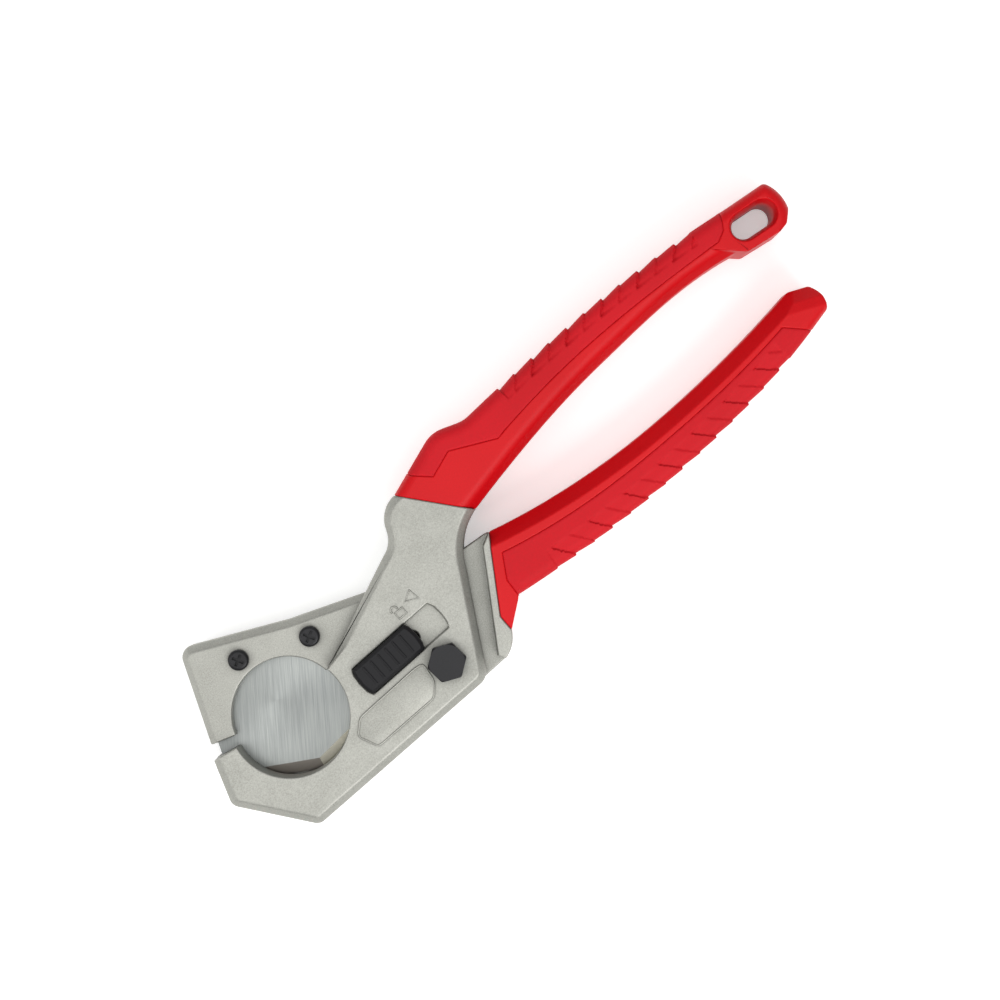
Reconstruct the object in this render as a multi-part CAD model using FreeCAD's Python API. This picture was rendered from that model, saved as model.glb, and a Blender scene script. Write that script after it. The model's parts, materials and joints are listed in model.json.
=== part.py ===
"""Hand-held tube cutter: two handles, a fixed fork with a round cradle, and a swinging jaw with a V blade.

Lengths are millimetres and angles are degrees. Every sub-part is drawn with the pivot axis at X = Y = 0,
handles towards +X, the tool lying on its rear face at Z = 0, jaws shut. At the end, everything moves
sideways together, so that the origin is under the middle of the shut tool.
"""
import FreeCAD, Part

import math
import os

V = FreeCAD.Vector

# ---- Driving sizes ---------------------------------------------------------------------------------------
body_t = 20.0              # thickness of the fork and of both handles
mid_z = body_t / 2         # the blade and the joint of the two fork halves lie here
arm_t = 10.8               # thickness of the swinging arm inside the fork
side_gap = 0.2             # running gap on each side of the arm
edge_chamfer = 2.0         # bevel round the castings
opening_deg = 35.0         # how far the jaw swings open
closed_stop_gap = 0.35     # arm to fork with the jaws shut
open_stop_gap = 0.5        # arm to fork with the jaws open
sweep_gap = 0.7            # round the path of the swinging arm
seat_gap = 0.05            # pressed, screwed and moulded-in pieces

arm_z0 = mid_z - arm_t / 2
arm_z1 = mid_z + arm_t / 2
cheek_z0 = arm_z0 - side_gap     # inner face of the rear cheek
cheek_z1 = arm_z1 + side_gap     # inner face of the front cheek

# Tube cradle, half in the fork and half in the arm
cradle = (-40.0, 21.0)
cradle_r = 16.4            # fork half, for tube of 28.6 mm
arm_cradle = (-40.0, 21.9)
arm_cradle_r = 15.5        # arm half
jaw_gap_deg = 151.8        # direction of the two lips beside the cradle
lip_gap = 3.9              # between the two lips when shut
lower_lip = (-62.8, 28.0)  # tip of the fork's lip

# Pivot
pivot_r = 3.0
pivot_fit = 0.05
head_af = 9.5
head_h = 3.2
boss_r = 6.8
boss_h = 0.3
nut_af = 10.0
nut_h = 3.0
nut_sink = 0.3             # nut face below the rear face
nut_pocket_gap = 0.15
eye_r = 10.4               # arm round the pivot
bush_r = 4.2
bush_flange_r = 5.8
bush_flange_t = 0.9
bush_proud = 0.1           # flange above the arm's face

# Blade
blade_t = 1.2
blade_slot_gap = 0.1       # each side of the blade, in the arm
blade_tip = (-44.8, 4.3)
blade_left_deg = 142.6     # direction of the left cutting edge, from the tip
blade_right_deg = -2.2     # direction of the right cutting edge
blade_left_len = 25.8
blade_right_len = 20.3
blade_bevel = 3.1          # width of the ground facet
blade_edge_t = 0.12
blade_margin = 4.0         # from the screw line to the back of the blade
blade_run_gap = 1.0        # from the cutting edges to the bottom of the fork's slot
blade_fork_gap = 0.2       # each side of the blade, in the fork
blade_heel_gap = 0.7

blade_screws_at = [(-38.6, 41.7), (-20.7, 32.0)]
screw_r = 1.5
screw_head_r = 2.85
screw_head_h = 2.0
screw_gap = 0.15           # shank to clearance hole
drive_slot_w = 0.8
drive_slot_l = 3.4
drive_slot_d = 1.0

# Fork joint
fork_screws_at = [(-53.5, 0.5), (-36.0, -2.0), (-17.0, -3.5), (20.0, 33.0)]
fork_screw_len = 15.0
counterbore_gap = 0.15
head_sink = 0.3            # screw heads below the rear face
dowels_at = [(-46.5, -1.6), (26.0, 27.0)]
dowel_r = 1.5
dowel_len = 9.0

# Slide lock
lock_at = (-10.2, 12.1)
lock_deg = -5.4
lock_travel = 8.5
lock_len = 20.2
lock_w = 8.7
lock_end = 0.9             # bulge of each end
lock_groove_d = 1.2
lock_gap = 0.12
lock_h = 3.3
lock_chamfer = 0.8
rib_pitch = 2.6
rib_count = 6
rib_w = 0.5
rib_h = 0.35
lock_pin_r = 1.8
lock_pin_gap = 0.15
lock_pin_clear = 0.2       # drawn short of the arm, so that both joints move freely
retainer_len = 9.0
retainer_w = 5.2
retainer_t = 0.8
retainer_gap = 0.15
notch_d = 3.2              # lock notch in the arm's face
notch_gap = 0.3

# Opening spring
spring_wire_r = 0.55
spring_r = 7.25
spring_turns = 2.25
spring_h = 2.5
spring_pocket_r = (6.4, 8.2)
spring_pocket_d = 4.0
spring_leg = 2.2
spring_hole_gap = 0.2

# Handles
upper_bevel = 2.7          # along the inner edge, in the plane of the tool
lower_bevel = 3.9
inner_bevel_z = 4.6        # the same bevels, down the side
outer_round = 3.5          # along the outer edge of the upper grip
lower_round = 3.0
tip_bevel = 1.5
grip_t = 2.6               # thickness of the soft grip over the shell's faces
tang_t = 8.0
hang_hole = (143.8, 20.9)
hang_hole_deg = -13.0
hang_hole_size = (12.4, 6.4)
hang_hole_flare = 0.9      # each side, at the front and rear faces
hang_hole_flare_z = 4.0


# ---- Small helpers ---------------------------------------------------------------------------------------
def rad(deg):
    return math.radians(deg)


def along(point, deg, length):
    """The point that lies length away from point, in direction deg."""
    return (point[0] + length * math.cos(rad(deg)), point[1] + length * math.sin(rad(deg)))


def turned(point, deg):
    """point turned about the pivot."""
    c, s = math.cos(rad(deg)), math.sin(rad(deg))
    return (point[0] * c - point[1] * s, point[0] * s + point[1] * c)


def crossing(p, p_deg, q, q_deg):
    """Where the line through p in direction p_deg meets the line through q in direction q_deg."""
    ux, uy = math.cos(rad(p_deg)), math.sin(rad(p_deg))
    vx, vy = math.cos(rad(q_deg)), math.sin(rad(q_deg))
    t = ((q[0] - p[0]) * vy - (q[1] - p[1]) * vx) / (ux * vy - uy * vx)
    return (p[0] + t * ux, p[1] + t * uy)


def heading(p, q):
    return math.degrees(math.atan2(q[1] - p[1], q[0] - p[0]))


def prism(steps, z0, z1):
    """A closed outline pushed from z0 to z1. A step is a point for a straight line, ("arc", through, to),
    or ("curve", point, point, ...) for a smooth line that starts at the point before it."""
    edges = []
    here = steps[0]
    for step in list(steps[1:]) + [steps[0]]:
        if step[0] == "arc":
            _, through, end = step
            edges.append(Part.Arc(V(*here, z0), V(*through, z0), V(*end, z0)).toShape())
        elif step[0] == "curve":
            end = step[-1]
            curve = Part.BSplineCurve()
            curve.interpolate([V(*here, z0)] + [V(*p, z0) for p in step[1:]])
            edges.append(curve.toShape())
        else:
            end = step
            edges.append(Part.LineSegment(V(*here, z0), V(*end, z0)).toShape())
        here = end
    return Part.Face(Part.Wire(edges)).extrude(V(0, 0, z1 - z0))


def cylinder(at, r, z0, z1):
    return Part.makeCylinder(r, z1 - z0, V(at[0], at[1], z0))


def obround(at, deg, length, width, z0, z1):
    """A bar with round ends; length is measured end to end."""
    half = (length - width) / 2
    bar = Part.makeBox(2 * half, width, z1 - z0, V(-half, -width / 2, z0))
    for x in (-half, half):
        bar = bar.fuse(cylinder((x, 0), width / 2, z0, z1))
    return placed(bar.removeSplitter(), at, deg)


def obround_wire(at, deg, length, width, z):
    """The outline of a bar with round ends, at height z."""
    half, r = (length - width) / 2, width / 2
    lines = [Part.LineSegment(V(-half, y, z), V(half, y, z)).toShape() for y in (-r, r)]
    ends = [Part.Arc(V(x, -r, z), V(x + math.copysign(r, x), 0, z), V(x, r, z)).toShape() for x in (half, -half)]
    return placed(Part.Wire([lines[0], ends[0], lines[1], ends[1]]), at, deg)


def hexagon(at, across_flats, deg, z0, z1):
    corner = across_flats / math.sqrt(3)
    points = [along(at, deg + 60 * i, corner) for i in range(6)]
    return prism(points, z0, z1)


def placed(shape, at, deg=0.0):
    """shape turned about Z and then moved to at."""
    moved = shape.copy()
    moved.rotate(V(0, 0, 0), V(0, 0, 1), deg)
    moved.translate(V(at[0], at[1], 0))
    return moved


def mirrored(shape):
    """shape mirrored in the middle plane of the tool."""
    return shape.mirror(V(0, 0, mid_z), V(0, 0, 1))


def rounded(solid, corners):
    """solid with its upright edges rounded, at each (point, radius)."""
    for point, r in corners:
        edges = [e for e in solid.Edges
                 if len(e.Vertexes) == 2
                 and all(math.hypot(v.X - point[0], v.Y - point[1]) < 0.01 for v in e.Vertexes)]
        solid = solid.makeFillet(r, edges)
    return solid


def rim_edges(solid, z, wanted):
    """Edges of solid that lie flat at height z and whose middle passes wanted(x, y)."""
    found = []
    for e in solid.Edges:
        box = e.BoundBox
        if abs(box.ZMin - z) > 0.001 or abs(box.ZMax - z) > 0.001:
            continue
        middle = e.valueAt((e.FirstParameter + e.LastParameter) / 2)
        if wanted(middle.x, middle.y):
            found.append(e)
    return found


def fused(*shapes):
    whole = shapes[0]
    for s in shapes[1:]:
        whole = whole.fuse(s)
    return whole.removeSplitter()


def cut(shape, *tools):
    for tool in tools:
        shape = shape.cut(tool)
    return shape


# ---- Outlines shared by several pieces -------------------------------------------------------------------
# The arm's outline, jaws shut. The arm swings clockwise to open.
arm_lip = along(lower_lip, jaw_gap_deg - 90, lip_gap)
arm_nose = (-47.85, 55.9)
arm_back = (-21.8, 39.6)
arm_shoulder = (-1.4, 28.9)
arm_crook = (22.0, 18.4)
arm_elbow = (32.0, 16.3)
handle_root = (33.3, 15.7)     # where arm, lower handle and the gap between the handles meet
handle_step = (18.8, -2.2)
handle_tip = (18.3, -6.8)
rim_from_pivot = 13.9          # inner face of the raised rim, square to rim_deg
rim_deg = heading(handle_step, handle_root)
rim_inset = 0.4                # rim below the face of the handles

# The fork's outline
neck_right = (35.3, 22.6)
neck_left = (23.0, 41.3)
fork_heel = (4.3, -11.0)
fork_corner_1 = (-68.4, 16.0)
fork_corner_2 = (-55.8, -4.9)
fork_waist = (22.4, 14.1)
cheek_end = (-24.2, 22.3)      # where the cheek's sloping edge meets the cradle
web_far = 80.0                 # beyond the outline on every side

underside_deg = 216.0          # direction from the pivot, square to the arm's underside


def fork_outline(z0, z1):
    """The whole head and neck, with its outer edges bevelled at z1."""
    body = prism([
        lower_lip, fork_corner_1, fork_corner_2, fork_heel, fork_waist,
        ("arc", (27.6, 19.6), neck_right),
        neck_left,
        ("arc", (17.7, 39.9), (14.6, 36.3)),
        ("arc", (12.5, 33.7), (8.8, 32.1)),
        cheek_end, cradle,
    ], z0, z1)
    body = rounded(body, [(fork_corner_1, 3.0), (fork_corner_2, 3.0), (fork_heel, 4.5)])
    lip_face = heading(cradle, lower_lip)

    def outer(x, y):
        to_neck = abs(heading(neck_right, neck_left) - heading(neck_right, (x, y))) < 1.0
        inside = math.hypot(x - cradle[0], y - cradle[1]) < 0.9 * cradle_r
        on_lip = abs(heading(cradle, (x, y)) - lip_face) < 3.0
        return not (to_neck or inside or on_lip)

    return body.makeChamfer(edge_chamfer, rim_edges(body, z1, outer))


def fork_webs(z0, z1):
    """What joins the cheeks: the lower jaw, and the neck, which also stops the arm."""
    foot = along((0, 0), underside_deg, eye_r + closed_stop_gap + 0.15)
    jaw = prism([
        along(foot, underside_deg + 90, 8.0),
        along(foot, underside_deg - 90, 26.0),
        cradle, lower_lip, (-web_far, 37.0), (-web_far, -20.0), (-4.1, -20.0),
    ], z0, z1)
    # The open stop lies along the arm's back, turned to the open position.
    back_deg = heading(arm_back, arm_shoulder)
    open_deg = back_deg - opening_deg
    on_open_stop = along(turned(arm_shoulder, -opening_deg), open_deg + 90, open_stop_gap)
    stop_top = along(on_open_stop, open_deg + 180, 30.0)
    top_deg = heading(arm_shoulder, arm_crook)
    on_closed_stop = along(arm_crook, top_deg + 90, closed_stop_gap)
    stop_pad = along(on_closed_stop, top_deg + 180, 1.5)
    neck = prism([stop_top, on_open_stop, stop_pad, (web_far, stop_pad[1]), (web_far, web_far),
                  (stop_top[0], web_far)], z0, z1)
    swept_r = math.hypot(*arm_shoulder) + sweep_gap
    swept = cylinder((0, 0), swept_r, z0, z1)
    beyond_deg = heading(arm_crook, arm_elbow)
    past_stop = along(arm_elbow, beyond_deg + 90, sweep_gap)
    pad = prism([stop_pad, on_closed_stop, past_stop, (34.0, 24.0), along(stop_pad, 57.0, 8.0)], z0, z1)
    return fused(jaw, fused(neck.cut(swept), pad))


def fork_half(z_out, z_joint):
    """One casting of the fork, drawn as the front one: outer face at z_out, joint face at z_joint."""
    solid = fork_outline(z_joint, z_out)
    cavity = cut(Part.makeBox(2 * web_far, 2 * web_far, cheek_z1 - z_joint, V(-web_far, -web_far, z_joint)),
                 fork_webs(z_joint, cheek_z1))
    solid = cut(solid, cavity, cylinder(cradle, cradle_r, z_joint, z_out))
    return solid.cut(blade_path(z_joint, z_joint + blade_t / 2 + blade_fork_gap))


def blade_path(z0, z1):
    """The slot that the blade runs down into, in the fork."""
    left, right = blade_left_deg, blade_right_deg
    bisector = (left + right) / 2
    drop = blade_run_gap / math.sin(rad((left - right) / 2))
    tip = along(blade_tip, bisector + 180, drop)
    slot = prism([tip, along(tip, right, 32.0), (-12.0, 45.0), (-web_far, 45.0), along(tip, left, 40.0)], z0, z1)
    heel_r = math.hypot(*blade_heel()) - blade_heel_gap
    return slot.cut(cylinder((0, 0), heel_r, z0, z1))


def blade_heel():
    """Right-hand end of the cutting edge."""
    return along(blade_tip, blade_right_deg, blade_right_len)


def blade_outline():
    toe = along(blade_tip, blade_left_deg, blade_left_len)
    screw_deg = heading(*blade_screws_at)
    back = along(blade_screws_at[0], screw_deg + 90, blade_margin)
    end_deg = heading(arm_lip, arm_nose)
    corner = crossing(toe, end_deg, back, screw_deg)
    top_right = along(blade_screws_at[1], screw_deg + 90, blade_margin)
    return [toe, blade_tip, blade_heel(), (-18.6, 20.5), along(top_right, screw_deg, 4.0),
            along(corner, screw_deg, 3.0), along(corner, end_deg + 180, 3.0)]


def tang(upper):
    """The metal core of a handle, as a closed outline."""
    if upper:
        return [(24.0, 36.5), (45.0, 38.0), (80.0, 35.3), (108.0, 31.6), (127.0, 28.2),
                (126.0, 22.6), (105.0, 26.4), (80.0, 28.6), (52.0, 28.4), (31.0, 26.6)]
    return [(28.0, 12.0), (45.0, 7.6), (62.0, 3.0), (85.0, -0.6), (108.0, -2.4), (124.0, -2.6),
            (124.0, -8.0), (106.0, -8.2), (84.0, -7.0), (62.0, -4.4), (44.0, -1.0), (23.0, 3.6)]


def lock_outline(extra, travel=0.0):
    """The lock button's outline about its own centre, grown by extra, its far end moved on by travel."""
    half, w, corner = lock_len / 2 + extra, lock_w / 2 + extra, 1.6
    low, high = -half, half + travel
    return [(low + lock_end, w - 0.1), (low + 0.25, w - corner), (low, 0.0), (low + 0.25, corner - w),
            (low + lock_end, 0.1 - w), (high - lock_end, 0.1 - w), (high - 0.25, corner - w),
            (high, 0.0), (high - 0.25, w - corner), (high - lock_end, w - 0.1)]


# ---- Fork ------------------------------------------------------------------------------------------------
def front_frame():
    solid = fork_half(body_t, mid_z)
    solid = fused(solid, prism(tang(True), mid_z, mid_z + tang_t / 2), cylinder((0, 0), boss_r, body_t - 1, body_t + boss_h))
    solid = solid.cut(cylinder((0, 0), pivot_r + pivot_fit, mid_z, body_t + boss_h))
    for at in fork_screws_at:
        solid = solid.cut(cylinder(at, screw_r + seat_gap, mid_z, head_sink + screw_head_h + fork_screw_len + 0.5))
    for at in dowels_at:
        solid = solid.cut(cylinder(at, dowel_r + seat_gap, mid_z, mid_z + dowel_len / 2 + 0.3))
    return cut_lock_seat(cut_spring_hole(solid))


def cut_lock_seat(solid):
    floor = body_t - lock_groove_d
    groove = placed(prism(lock_outline(lock_gap, lock_travel), floor, body_t + 1), lock_at, lock_deg)
    middle = along(lock_at, lock_deg, lock_travel / 2)
    slot_w = 2 * (lock_pin_r + lock_pin_gap)
    slot = obround(middle, lock_deg, lock_travel + slot_w, slot_w, cheek_z1 - 1, floor + 1)
    pocket_l = retainer_len + lock_travel + 2 * retainer_gap
    pocket_w = retainer_w + 2 * retainer_gap
    pocket = Part.makeBox(pocket_l, pocket_w, retainer_t + 2 * retainer_gap,
                          V(-pocket_l / 2, -pocket_w / 2, cheek_z1))
    return cut(solid, groove, slot, placed(pocket, middle, lock_deg))


def spring_leg_at():
    """Where the spring's end stands up into the fork."""
    return along((0, 0), 360 * spring_turns, spring_r)


def cut_spring_hole(solid):
    return solid.cut(cylinder(spring_leg_at(), spring_wire_r + spring_hole_gap, cheek_z1 - 1, cheek_z1 + spring_leg))


def rear_frame():
    solid = mirrored(fork_half(body_t, mid_z))
    solid = fused(solid, prism(tang(True), mid_z - tang_t / 2, mid_z))
    solid = solid.cut(cylinder((0, 0), pivot_r + pivot_fit, 0, mid_z))
    solid = solid.cut(hexagon((0, 0), nut_af + 2 * nut_pocket_gap, 0, -1, nut_sink + nut_h))
    for at in fork_screws_at:
        solid = cut(solid, cylinder(at, screw_r + screw_gap, 0, mid_z),
                    cylinder(at, screw_head_r + counterbore_gap, -1, head_sink + screw_head_h))
    for at in dowels_at:
        solid = solid.cut(cylinder(at, dowel_r + seat_gap, mid_z - dowel_len / 2 - 0.3, mid_z))
    return solid


def pan_head_screw(at, seat_z, up, length):
    """A cross-drive screw whose head rests at seat_z; up is 1 if the head is above the shank, or -1."""
    head = cylinder(at, screw_head_r, 0, screw_head_h)
    head = head.makeFillet(0.9, rim_edges(head, screw_head_h, lambda x, y: True))
    for deg in (20, 110):
        bar = Part.makeBox(drive_slot_l, drive_slot_w, drive_slot_d,
                           V(-drive_slot_l / 2, -drive_slot_w / 2, screw_head_h - drive_slot_d))
        head = head.cut(placed(bar, at, deg))
    shank = cylinder(at, screw_r, -length, 0)
    screw = fused(head, shank.makeChamfer(0.4, rim_edges(shank, -length, lambda x, y: True)))
    if up < 0:
        screw = screw.mirror(V(0, 0, 0), V(0, 0, 1))
    screw.translate(V(0, 0, seat_z))
    return screw


def frame_screws():
    return [pan_head_screw(at, head_sink + screw_head_h, -1, fork_screw_len) for at in fork_screws_at]


def frame_dowels():
    return [cylinder(at, dowel_r, mid_z - dowel_len / 2, mid_z + dowel_len / 2) for at in dowels_at]


def pivot_bolt():
    seat = body_t + boss_h
    head = hexagon((0, 0), head_af, 29, seat, seat + head_h)
    dome = cylinder((0, 0), head_af / math.sqrt(3) - 0.1, seat, seat + head_h)
    dome = dome.makeChamfer(0.5, rim_edges(dome, seat + head_h, lambda x, y: True))
    shank = cylinder((0, 0), pivot_r, nut_sink + 0.4, seat)
    return fused(head.common(dome), shank)


def pivot_nut():
    nut = hexagon((0, 0), nut_af, 0, nut_sink, nut_sink + nut_h)
    return nut.cut(cylinder((0, 0), pivot_r + seat_gap, 0, nut_sink + nut_h + 1))


# ---- Swinging arm ----------------------------------------------------------------------------------------
def arm_casting():
    foot = along((0, 0), underside_deg, eye_r)
    solid = prism([
        arm_lip, arm_nose, arm_back, arm_shoulder, arm_crook, arm_elbow, handle_root, handle_step,
        handle_tip, ("arc", (15.9, -9.3), (11.4, -11.0)), (4.2, -10.4), (0.0, -eye_r), (0.0, 0.0),
        foot, along(foot, underside_deg - 90, 27.0), arm_cradle,
    ], arm_z0, arm_z1)
    solid = rounded(solid, [(arm_nose, 3.4)])
    solid = fused(solid, cylinder((0, 0), eye_r, arm_z0, arm_z1))

    def jaw_edge(x, y):
        beyond = y > arm_shoulder[1] - 0.2 and x > arm_nose[0] - 2 and math.hypot(x, y) > 28
        return beyond and heading(arm_shoulder, (x, y)) < 152.5

    for z in (arm_z0, arm_z1):
        solid = solid.makeChamfer(edge_chamfer, rim_edges(solid, z, jaw_edge))
    solid = fused(solid, arm_rim(), prism(tang(False), mid_z - tang_t / 2, mid_z + tang_t / 2))
    below_cheek = prism([(-web_far, cheek_end[1]), (0, cheek_end[1]), (0, 0), (-web_far, 0)], arm_z0, arm_z1)
    relief = cylinder(cradle, cradle_r + closed_stop_gap, arm_z0, arm_z1).common(below_cheek)
    solid = cut(solid, cylinder(arm_cradle, arm_cradle_r, arm_z0, arm_z1), relief)
    return cut_arm_seats(solid)


def arm_rim():
    """The raised border that the lower handle is moulded against, on both faces."""
    inner = along((0, 0), rim_deg - 90, rim_from_pivot)
    return prism([(11.4, -11.0), ("arc", (15.9, -9.3), handle_tip), handle_step, handle_root,
                  along(inner, rim_deg, 29.6), along(inner, rim_deg + 180, 0.3)], rim_inset, body_t - rim_inset)


def cut_arm_seats(solid):
    sleeve = bush_flange_t - bush_proud
    slot = prism(blade_outline(), mid_z - blade_t / 2 - blade_slot_gap, mid_z + blade_t / 2 + blade_slot_gap)
    inner_r, outer_r = spring_pocket_r
    pocket = cylinder((0, 0), outer_r, arm_z1 - spring_pocket_d, arm_z1)
    pocket = pocket.cut(cylinder((0, 0), inner_r, arm_z1 - spring_pocket_d, arm_z1))
    start = (spring_r, 0)
    leg_hole = cylinder(start, spring_wire_r + spring_hole_gap, arm_z1 - spring_pocket_d - spring_leg, arm_z1)
    solid = cut(solid, cylinder((0, 0), bush_r + seat_gap, arm_z0, arm_z1),
                cylinder((0, 0), bush_flange_r + seat_gap, arm_z0, arm_z0 + sleeve),
                cylinder((0, 0), bush_flange_r + seat_gap, arm_z1 - sleeve, arm_z1),
                slot, pocket, leg_hole, lock_notch())
    for at in blade_screws_at:
        solid = cut(solid, cylinder(at, screw_r + screw_gap, mid_z, arm_z1),
                    cylinder(at, screw_r + seat_gap, arm_z0 + 0.8, mid_z))
    return solid


def lock_notch():
    """Where the lock's pin runs in the arm's face: round the pivot while unlocked, and outwards to lock."""
    z0 = arm_z1 - notch_d
    w = 2 * (lock_pin_r + notch_gap)
    unlocked = along(lock_at, lock_deg, lock_travel)
    run_r = math.hypot(*unlocked)
    start = heading((0, 0), unlocked)
    ring = cylinder((0, 0), run_r + w / 2, z0, arm_z1).cut(cylinder((0, 0), run_r - w / 2, z0, arm_z1))
    sector = prism([(0, 0), along((0, 0), start, 30), along((0, 0), start + opening_deg / 2, 32),
                    along((0, 0), start + opening_deg, 30)], z0, arm_z1)
    end = turned(unlocked, opening_deg)
    lock_slot = obround(along(lock_at, lock_deg, lock_travel / 2), lock_deg, lock_travel + w, w, z0, arm_z1)
    return fused(ring.common(sector), cylinder(unlocked, w / 2, z0, arm_z1), cylinder(end, w / 2, z0, arm_z1),
                 lock_slot)


def bush(front):
    sleeve_end = mid_z + 0.2
    shape = fused(cylinder((0, 0), bush_r, sleeve_end, arm_z1 + bush_proud),
                  cylinder((0, 0), bush_flange_r, arm_z1 + bush_proud - bush_flange_t, arm_z1 + bush_proud))
    shape = shape.cut(cylinder((0, 0), pivot_r + pivot_fit, sleeve_end, arm_z1 + bush_proud))
    return shape if front else mirrored(shape)


def blade():
    outline = blade_outline()
    z0, z1 = mid_z - blade_t / 2, mid_z + blade_t / 2
    solid = prism(outline, z0, z1)
    toe, tip, heel = outline[0], outline[1], outline[2]
    for a, b in ((toe, tip), (tip, heel)):
        grind = ground_wedge(a, b)
        solid = cut(solid, grind, mirrored(grind))
    for at in blade_screws_at:
        solid = solid.cut(cylinder(at, screw_r + screw_gap, z0, z1))
    return solid


def ground_wedge(a, b):
    """What grinding takes off the front of the blade along the cutting edge from a to b."""
    deg = heading(a, b)
    a, length = along(a, deg + 180, 8.0), math.hypot(b[0] - a[0], b[1] - a[1]) + 16.0
    top = mid_z + blade_t / 2
    profile = Part.makePolygon([V(0, -1.0, top + 0.5), V(0, -1.0, mid_z + blade_edge_t / 2),
                                V(0, 0.0, mid_z + blade_edge_t / 2), V(0, blade_bevel, top),
                                V(0, blade_bevel, top + 0.5), V(0, -1.0, top + 0.5)])
    return placed(Part.Face(profile).extrude(V(length, 0, 0)), a, deg)


def blade_screws():
    return [pan_head_screw(at, arm_z1, 1, arm_t - 1.6) for at in blade_screws_at]


def opening_spring():
    """A torsion spring round the pivot: one end stands in the arm, the other in the front cheek."""
    z_start = arm_z1 - spring_pocket_d + spring_wire_r + 0.1
    helix = Part.makeHelix(spring_h / spring_turns, spring_h, spring_r)
    helix.translate(V(0, 0, z_start))
    profile = Part.Wire(Part.makeCircle(spring_wire_r, V(spring_r, 0, z_start), V(0, 1, 0)))
    coil = Part.Wire(helix).makePipeShell([profile], True, True)
    top = z_start + spring_h
    low_leg = Part.makeCylinder(spring_wire_r, spring_leg - 0.2, V(spring_r, 0, z_start - spring_leg + 0.2))
    end = spring_leg_at()
    high_leg = Part.makeCylinder(spring_wire_r, cheek_z1 + spring_leg - 0.4 - top, V(end[0], end[1], top))
    return fused(coil, low_leg, high_leg, Part.makeSphere(spring_wire_r, V(spring_r, 0, z_start)),
                 Part.makeSphere(spring_wire_r, V(end[0], end[1], top)))


# ---- Slide lock ------------------------------------------------------------------------------------------
def lock_button():
    floor = body_t - lock_groove_d + seat_gap
    top = floor + lock_h
    solid = prism(lock_outline(0.0), floor, top)
    solid = solid.makeChamfer(lock_chamfer, rim_edges(solid, top, lambda x, y: True))
    for i in range(rib_count):
        x = (i - (rib_count - 1) / 2) * rib_pitch
        solid = solid.fuse(Part.makeBox(rib_w, lock_w - 3.0, rib_h + 0.2, V(x - rib_w / 2, 1.5 - lock_w / 2, top - 0.2)))
    solid = solid.removeSplitter().cut(cylinder((0, 0), lock_pin_r + seat_gap, floor, floor + 1.8))
    return placed(solid, lock_at, lock_deg)


def lock_pin():
    top = body_t - lock_groove_d + seat_gap + 1.8
    return cylinder(lock_at, lock_pin_r, arm_z1 + lock_pin_clear, top)


def lock_retainer():
    z0 = cheek_z1 + retainer_gap
    plate = Part.makeBox(retainer_len, retainer_w, retainer_t, V(-retainer_len / 2, -retainer_w / 2, z0))
    return placed(plate.cut(cylinder((0, 0), lock_pin_r + seat_gap, z0, z0 + retainer_t)), lock_at, lock_deg)


# ---- Handles ---------------------------------------------------------------------------------------------
def upper_handle():
    """The whole outside of the fixed handle."""
    solid = prism([
        neck_left, (42.2, 45.6), (50.6, 41.4),
        ("curve", (70.5, 40.1), (95.6, 37.4), (119.9, 33.4), (140.9, 28.6)),
        (153.3, 25.8), ("arc", (154.2, 21.2), (153.0, 16.2)), (149.4, 13.7), (146.4, 13.5), (136.4, 16.2),
        (134.6, 18.4),
        ("curve", (115.4, 22.6), (95.5, 24.2), (79.1, 24.9), (52.6, 24.1), neck_right),
    ], 0, body_t)
    solid = rounded(solid, [((42.2, 45.6), 9.0), ((50.6, 41.4), 9.0), ((153.3, 25.8), 1.5),
                            ((149.4, 13.7), 2.0), ((136.4, 16.2), 2.0)])
    for z in (0, body_t):
        inner = rim_edges(solid, z, lambda x, y: y < 26 and 36 < x < 134)
        solid = solid.makeChamfer(inner_bevel_z, upper_bevel, inner)
    for z in (0, body_t):
        outer = rim_edges(solid, z, lambda x, y: y > 26 and not (x < 34 and y < 36))
        solid = solid.makeFillet(outer_round, outer)
    return solid


def lower_handle():
    """The whole outside of the moving handle."""
    solid = prism([
        handle_root,
        ("curve", (46.1, 11.2), (61.2, 7.1), (77.0, 4.0), (94.6, 1.9), (112.7, 0.8), (136.2, 0.8)),
        (141.3, -2.2), ("arc", (141.9, -6.0), (140.0, -10.2)), (133.4, -11.0),
        ("curve", (110.8, -12.4), (80.5, -11.1), (54.6, -7.8), (26.4, -1.8)),
        (25.3, -2.6), handle_tip, handle_step,
    ], 0, body_t)
    for z in (0, body_t):
        inner = rim_edges(solid, z, lambda x, y: y > -1 and 34 < x < 139.5)
        solid = solid.makeChamfer(inner_bevel_z, lower_bevel, inner)
    for z in (0, body_t):
        solid = solid.makeFillet(lower_round, rim_edges(solid, z, lambda x, y: y < -10 and 26 < x < 133.4))
    for z in (0, body_t):
        solid = solid.makeChamfer(tip_bevel, rim_edges(solid, z, lambda x, y: x > 134))
    return solid


def handle_pair(whole, grip_region, inset, core, hollow):
    """Splits a handle into its hard shell and the soft grip over it."""
    inner = whole.common(prism(inset, grip_t, body_t - grip_t))
    grip = cut(whole.common(grip_region), inner)
    shell = cut(whole, grip_region.cut(inner), prism(core, mid_z - tang_t / 2, mid_z + tang_t / 2))
    return cut(shell, *hollow), cut(grip, *hollow)


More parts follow.
